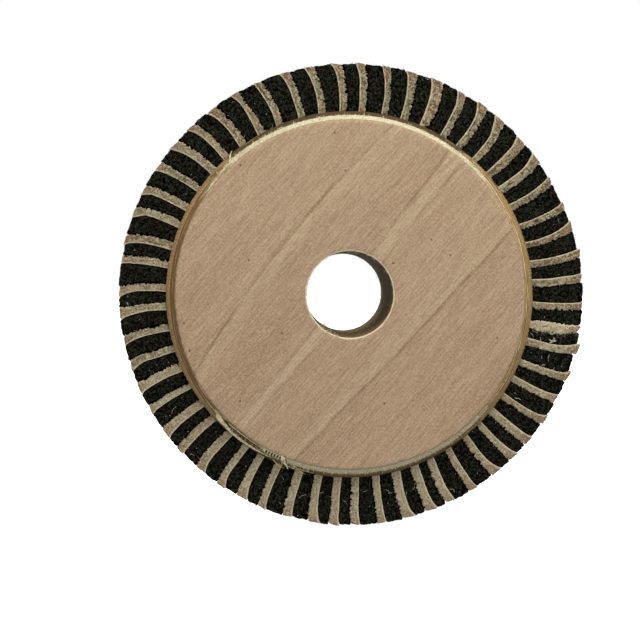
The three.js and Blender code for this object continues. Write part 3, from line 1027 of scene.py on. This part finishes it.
def make_strips(kind, material):
    """All the strips of one kind. Each group of three stands for one CAD node."""
    flat, faces = strip_flat_points(kind)
    for index in range(STRIP_COUNT):
        points = lay_strip(kind, index, flat)
        name = f"{kind}_strip_{index + 1:02d}"
        piece = make_piece(name, points, faces, material, kind, {"across": flat[:, 1]})
        ragged = index == RAGGED_STRIP
        cleaning = 0.42 + 0.5 * math.cos(index * PITCH - CLEAN_SIDE + 0.6 * scatter(index, 17))
        piece["tone"] = 0.0 if ragged else 0.5 + 0.5 * scatter(index, 12)
        piece["clean"] = 1.3 if ragged else cleaning
        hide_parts(f"{kind}_strips_{index // STRIPS_PER_NODE + 1:02d}")


def surface_spots(kind, index, amount, random, where):
    """Random spots on a strip's skin, with the radial, turning and outward directions there.

    where is front, back, tip, or edge for the clockwise side's front and back edges."""
    part = random.uniform(FREE_START + 0.04, 0.99, amount)
    across = random.uniform(-0.97, 0.97, amount)
    wide = random.uniform(-0.99, 0.99, amount)
    if where in ("front", "back"):
        wide[:] = -0.999 if where == "front" else 0.999
    if where == "tip":
        part[:] = 0.998
    if where == "edge":
        across = -1 + np.abs(random.normal(0, 0.12, amount))
        wide = np.where(random.random(amount) < 0.6, -0.999, 0.999)
    start = lay_strip(kind, index, np.stack([part, across, wide], axis=1))
    radial = unit(start * [1, 0, 1])
    return start, radial, np.cross(radial, [0, 1, 0]), np.sign(wide)[:, None] * [0, 1, 0]


FUZZ_AMOUNTS = {
    "felt": {"front": 70, "back": 70, "tip": 130},
    "leather": {"front": 16, "back": 16, "tip": 90, "edge": 110},
}
RAGGED_AMOUNT = 260
RAGGED_LENGTH = 2.2
# The shortest and the longest loose fibre, in mm, and how straight they stand out.
FUZZ_SHAPES = {"felt": (0.35, 1.0, 0.45), "leather": (0.25, 0.7, 0.3)}
SHELTERED_LENGTH = 0.3


def fuzz(kind, index, random):
    """The loose fibres of one strip, as points and faces."""
    shortest, longest, stand = FUZZ_SHAPES[kind]
    ragged = kind == "leather" and index == RAGGED_STRIP
    grown = []
    for where, amount in FUZZ_AMOUNTS[kind].items():
        torn = ragged and where == "edge"
        amount = RAGGED_AMOUNT if torn else amount
        start, radial, turning, outward = surface_spots(kind, index, amount, random, where)
        base = {"tip": radial, "edge": -turning}.get(where, outward)
        direction = stand * base + 0.3 * radial + 0.75 * random.normal(size=(amount, 3))
        facing = np.sum(direction * base, axis=1, keepdims=True)
        direction += base * (np.abs(facing) - facing + 0.12)
        length = random.uniform(shortest, RAGGED_LENGTH if torn else longest, amount)
        grown.append((start - 0.05 * base, unit(direction), length))
    start, direction, length = (np.concatenate(parts) for parts in zip(*grown))
    sheltered = np.hypot(start[:, 0], start[:, 2]) < CHEEK_RADIUS + 1.2
    length = np.where(sheltered, SHELTERED_LENGTH, length)
    width = random.uniform(0.02, 0.042, len(start))
    bend = 0.55 * random.normal(size=start.shape) * length[:, None]
    return needles(start, direction, length, width, bend)


def make_fuzz(kind, material, seed):
    """One piece of loose fibres for each group of three strips."""
    for group in range(STRIP_COUNT // STRIPS_PER_NODE):
        random = np.random.default_rng(seed + group)
        strips = range(group * STRIPS_PER_NODE, (group + 1) * STRIPS_PER_NODE)
        points, faces = joined([fuzz(kind, index, random) for index in strips])
        make_piece(f"{kind}_fuzz_{group + 1:02d}", points, faces, material, kind, smooth=False)


def thick_curls(random):
    """A tangle of thick wool curls on the felt beside the ragged strip."""
    for part, across in ((0.7, 0.8), (0.75, 0.4), (0.7, -0.1), (0.78, -0.4)):
        start = lay_strip("felt", RAGGED_STRIP - 1, np.array([[part, across, -0.999]]))
        radial = unit(start * [1, 0, 1])
        turning = np.cross(radial, [0, 1, 0])
        length, width = np.array([2.8]), np.array([0.34])
        yield curls(start - [0, 0.1, 0], turning, radial, length, width, 0.6, random)


def lint_curl(random):
    """A pale speck or a long curl of lint, caught on a felt end or tip."""
    index = int(random.integers(0, STRIP_COUNT))
    caught = random.random() < 0.15
    if caught:
        index = LINTY_STRIPS[int(random.integers(0, len(LINTY_STRIPS)))]
    where = ("front", "front", "back", "tip")[int(random.integers(0, 4))]
    start, radial, turning, outward = surface_spots("felt", index, 1, random, where)
    base, first = (radial, outward) if where == "tip" else (outward, radial)
    speck = random.random() < (0.3 if caught else 0.86)
    length = np.array([random.uniform(0.3, 0.7) if speck else random.uniform(1.5, 3.4)])
    width = np.array([0.1 if speck else 0.09])
    return curls(start + 0.08 * base, first, turning, length, width, 0.55, random)


def make_lint(material, amount, seed):
    """The lint on the felt, and the tangle beside the ragged strip, as one piece."""
    random = np.random.default_rng(seed)
    meshes = [lint_curl(random) for _ in range(amount)]
    points, faces = joined([*meshes, *thick_curls(random)])
    make_piece("felt_lint", points, faces, material, "felt")


# ---- Studio ----

CAMERA_DISTANCE = 282.7
CAMERA_SIDE = -19.0
CAMERA_HEIGHT = 6.6
FOCAL_PIXELS = 878.5
IMAGE_PIXELS = 640
SENSOR_WIDTH = 36.0
SHIFT_PIXELS = (29.0, -46.0)
SKY_BELOW = 0.42
SKY_ABOVE = 0.8
SOFTBOX_SIZE = 0.35
TOP_POWER = 2.7
BACK_POWER = 2.4
FLOOR_REACH = 3000.0


def make_camera():
    data = bpy.data.cameras.new("camera")
    data.sensor_width = SENSOR_WIDTH
    data.lens = SENSOR_WIDTH * FOCAL_PIXELS / IMAGE_PIXELS
    data.shift_x, data.shift_y = (s / IMAGE_PIXELS for s in SHIFT_PIXELS)
    data.clip_start = 0.01
    camera = add_object("camera", data)
    place = (CAMERA_SIDE, -HALF_WIDTH - CAMERA_DISTANCE, CAMERA_HEIGHT)
    camera.location = [c * MM for c in place]
    camera.rotation_euler = (math.radians(90), 0, 0)
    bpy.context.scene.camera = camera


def add_softbox(name, place, power):
    """A square light at a place in metres that shines at the middle of the wheel."""
    data = bpy.data.lights.new(name, "AREA")
    data.size = SOFTBOX_SIZE
    data.energy = power
    light = add_object(name, data)
    light.location = place
    x, y, z = place
    light.rotation_euler = (math.pi / 2 + math.atan2(-z, math.hypot(x, y)), 0, math.atan2(x, -y))


def make_world():
    """White where the camera looks past the object, and a soft light that is stronger from above."""
    world = bpy.data.worlds.new("studio")
    world.use_nodes = True
    tree = world.node_tree
    tree.nodes.clear()
    up = node(tree, "SeparateXYZ", {0: node(tree, "TexCoord").outputs["Generated"]}).outputs[2]
    strength = node(tree, "MapRange", {"Value": up, 1: -1.0, 2: 1.0, 3: SKY_BELOW, 4: SKY_ABOVE})
    seen = node(tree, "LightPath").outputs["Is Camera Ray"]
    light = node(tree, "Background", {"Color": WHITE, "Strength": strength.outputs[0]})
    white = node(tree, "Background", {"Color": WHITE, "Strength": 1.0})
    mixed = node(tree, "MixShader", {0: seen, 1: light.outputs[0], 2: white.outputs[0]})
    node(tree, "OutputWorld", {"Surface": mixed.outputs[0]})
    bpy.context.scene.world = world


def make_studio():
    make_world()
    bpy.context.scene.view_settings.view_transform = "Standard"
    add_softbox("top_softbox", (0.11, -0.26, 0.49), TOP_POWER)
    add_softbox("back_softbox", (-0.1, 0.3, 0.5), BACK_POWER)


def make_floor(material):
    """A wide floor at the lowest place of the CAD part."""
    corners = np.array([(-1, -1), (1, -1), (1, 1), (-1, 1)]) * FLOOR_REACH
    points = np.column_stack([corners, np.full(4, cad_box[0].z / MM)])
    mesh = bpy.data.meshes.new("floor")
    mesh.from_pydata((points * MM).tolist(), [], [(0, 1, 2, 3)])
    mesh.materials.append(material)
    floor = add_object("floor", mesh)
    floor.visible_diffuse = False
    floor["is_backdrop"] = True


# ---- Putting it together ----

CROSS_COLOURS = ((164, 153, 116), (226, 219, 188)), ((134, 105, 70), (176, 147, 106)), (98, 74, 44)
INNER_COLOURS = ((140, 112, 70), (184, 154, 106)), ((98, 76, 48), (142, 114, 76)), (96, 72, 42)
WHISKER_SPANS = ((90, 48), (270, 42))
PATCH_SPANS = ((PATCH_CENTRE + 1, 2), (PATCH_CENTRE + 5, 4))


def make_hub():
    face = face_veneer_material()
    cross = edge_ply_material("cross_ply", True, *CROSS_COLOURS)
    inner = edge_ply_material("inner_ply", False, *INNER_COLOURS)
    core = core_material()
    pale_wood = fibre_material("pale_splinters", (188, 172, 132), (232, 222, 188))
    for side, label in ((-1, "front_cheek"), (1, "back_cheek")):
        make_face_veneer(f"{label}_face_veneer", side, face)
        make_edge_ply(f"{label}_cross_ply", side, CROSS_DEPTHS, True, cross, side < 0)
        make_edge_ply(f"{label}_inner_ply", side, INNER_DEPTHS, False, inner, False)
        whiskers = f"{label}_whiskers"
        make_bevel_splinters(whiskers, side, pale_wood, WHISKER_SPANS, 420, (0.35, 0.9), 5 + side)
        make_bore_splinters(f"{label}_bore_splinters", side, pale_wood, 130, 8 + side)
    make_core_board("core_board_front", core)
    make_core_board("core_board_back", core)
    make_bevel_splinters("torn_splinters", -1, pale_wood, PATCH_SPANS, 26, (0.7, 1.7), 15)
    make_torn_pieces(sliver_material())
    glue_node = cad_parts["root_glue_ring"]
    glue_node.data.materials.clear()
    glue_node.data.materials.append(glue_material())


def make_rim():
    make_strips("leather", leather_material())
    make_strips("felt", felt_material())
    make_fuzz("felt", fibre_material("felt_fibres", (7, 7, 5), (48, 47, 38)), 100)
    make_fuzz("leather", fibre_material("leather_fibres", (138, 126, 100), (190, 178, 148)), 200)
    make_lint(fibre_material("lint_fibres", (150, 148, 130), (222, 219, 202)), 170, 300)


make_camera()
make_studio()
make_floor(floor_material())
make_hub()
make_rim()

boxes = {"cad": cad_box, "visual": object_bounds()}
{k: [list(corner) for corner in box] for k, box in boxes.items()}
